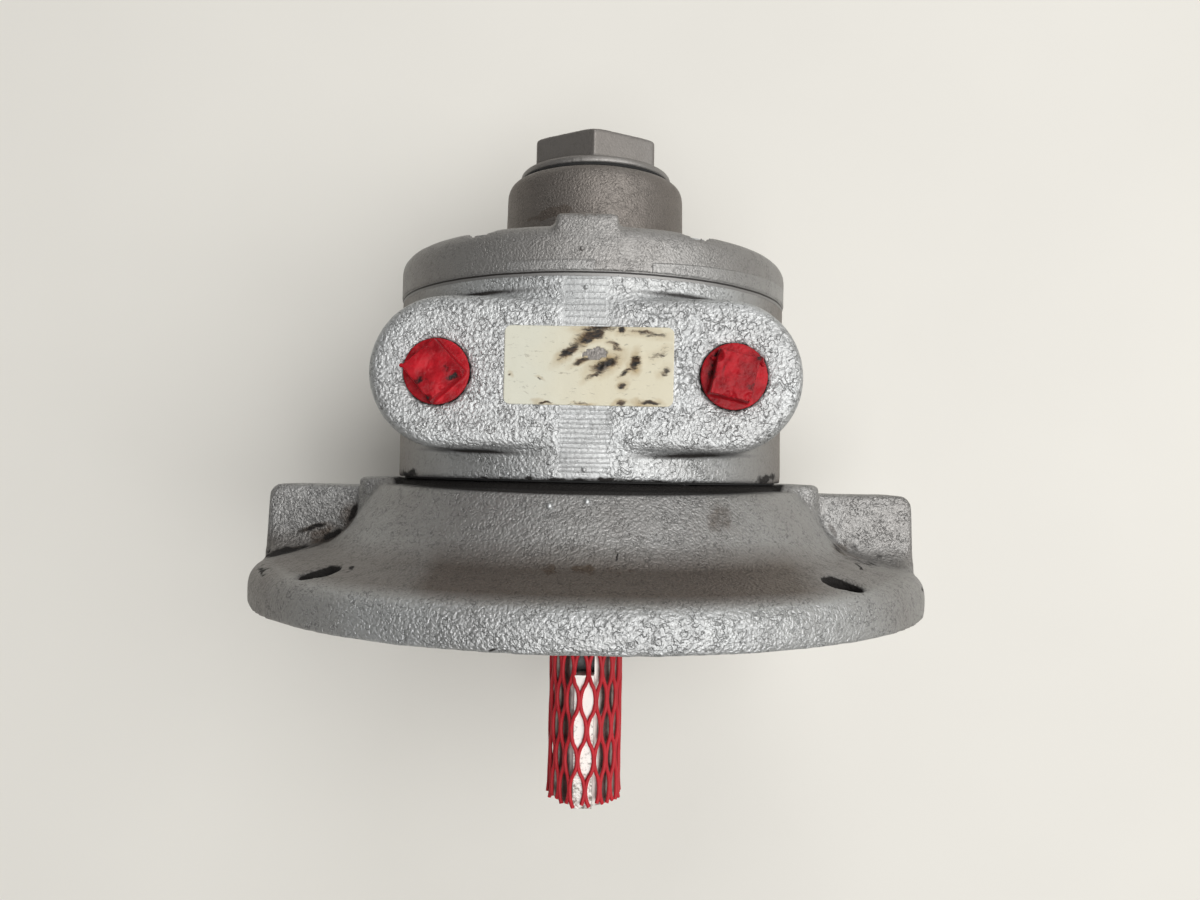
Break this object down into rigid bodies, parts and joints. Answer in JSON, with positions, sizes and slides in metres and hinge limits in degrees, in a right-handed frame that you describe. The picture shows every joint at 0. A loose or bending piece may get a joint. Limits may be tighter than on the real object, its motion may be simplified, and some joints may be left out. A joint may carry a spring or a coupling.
{
  "type": "rotary vane air motor",
  "caption": "Rotary vane air motor with a round face flange and pilot, a ported pad with plugs, a rear bearing boss with hex cap and a keyed output shaft in a net sleeve.",
  "frame": {"origin": "centre of the flange's mounting face, on the shaft axis", "axes": "-Y along the output shaft, out of the flange; +Z towards the port pad; +X to the right when looking down on the pad with the shaft towards the viewer"},
  "size_m": [0.165, 0.1683, 0.165],
  "materials": {
    "silver_casting": "silver paint over a rough casting, grimy in the corners",
    "gasket": "matte black",
    "dark_steel": "black oxide",
    "bare_steel": "ground",
    "red_plastic": "moulded, scuffed",
    "red_net": "extruded net",
    "label_paper": "worn film label, bare",
    "seal_rubber": "moulded",
    "rotor_iron": "machined",
    "vane_laminate": "machined laminate",
    "cage_brass": "pressed"
  },
  "bodies": {
    "housing": {"drive_end_cover": "silver_casting", "body": "silver_casting", "dead_end_cover": "silver_casting", "end_cap": "silver_casting", "end_cap_gasket": "gasket", "drive_gasket": "gasket", "dead_gasket": "gasket", "drive_cover_bolts": "dark_steel", "dead_cover_bolts": "silver_casting", "drive_dowels": "bare_steel", "dead_dowels": "bare_steel", "port_plug_left": "red_plastic", "port_plug_right": "red_plastic", "label": "label_paper", "shaft_seal": "seal_rubber", "drive_bearing_retaining_ring": "dark_steel", "drive_bearing_outer_ring": "bare_steel", "dead_bearing_outer_ring": "bare_steel"},
    "rotor_group": {"shaft": "bare_steel", "shaft_key": "bare_steel", "shaft_net_sleeve": "red_net", "rotor": "rotor_iron", "vane_1": "vane_laminate", "vane_2": "vane_laminate", "vane_3": "vane_laminate", "vane_4": "vane_laminate", "drive_bearing_inner_ring": "bare_steel", "dead_bearing_inner_ring": "bare_steel"},
    "drive_ball_set": {"drive_bearing_cage": "cage_brass", "drive_bearing_balls": "bare_steel"},
    "dead_ball_set": {"dead_bearing_cage": "cage_brass", "dead_bearing_balls": "bare_steel"}
  },
  "joints": [
    {"name": "rotor_spin", "type": "hinge", "parent": "housing", "child": "rotor_group", "pos_m": [0, 0, 0], "axis": [0, 1, 0], "continuous": true},
    {"name": "drive_cage_spin", "type": "hinge", "parent": "housing", "child": "drive_ball_set", "pos_m": [0, 0.012, 0], "axis": [0, 1, 0], "continuous": true},
    {"name": "dead_cage_spin", "type": "hinge", "parent": "housing", "child": "dead_ball_set", "pos_m": [0, 0.0918, 0], "axis": [0, 1, 0], "continuous": true}
  ],
  "couplings": [
    {"joint": "drive_cage_spin", "follows": "rotor_spin", "ratio": 0.38163},
    {"joint": "dead_cage_spin", "follows": "rotor_spin", "ratio": 0.38094}
  ]
}
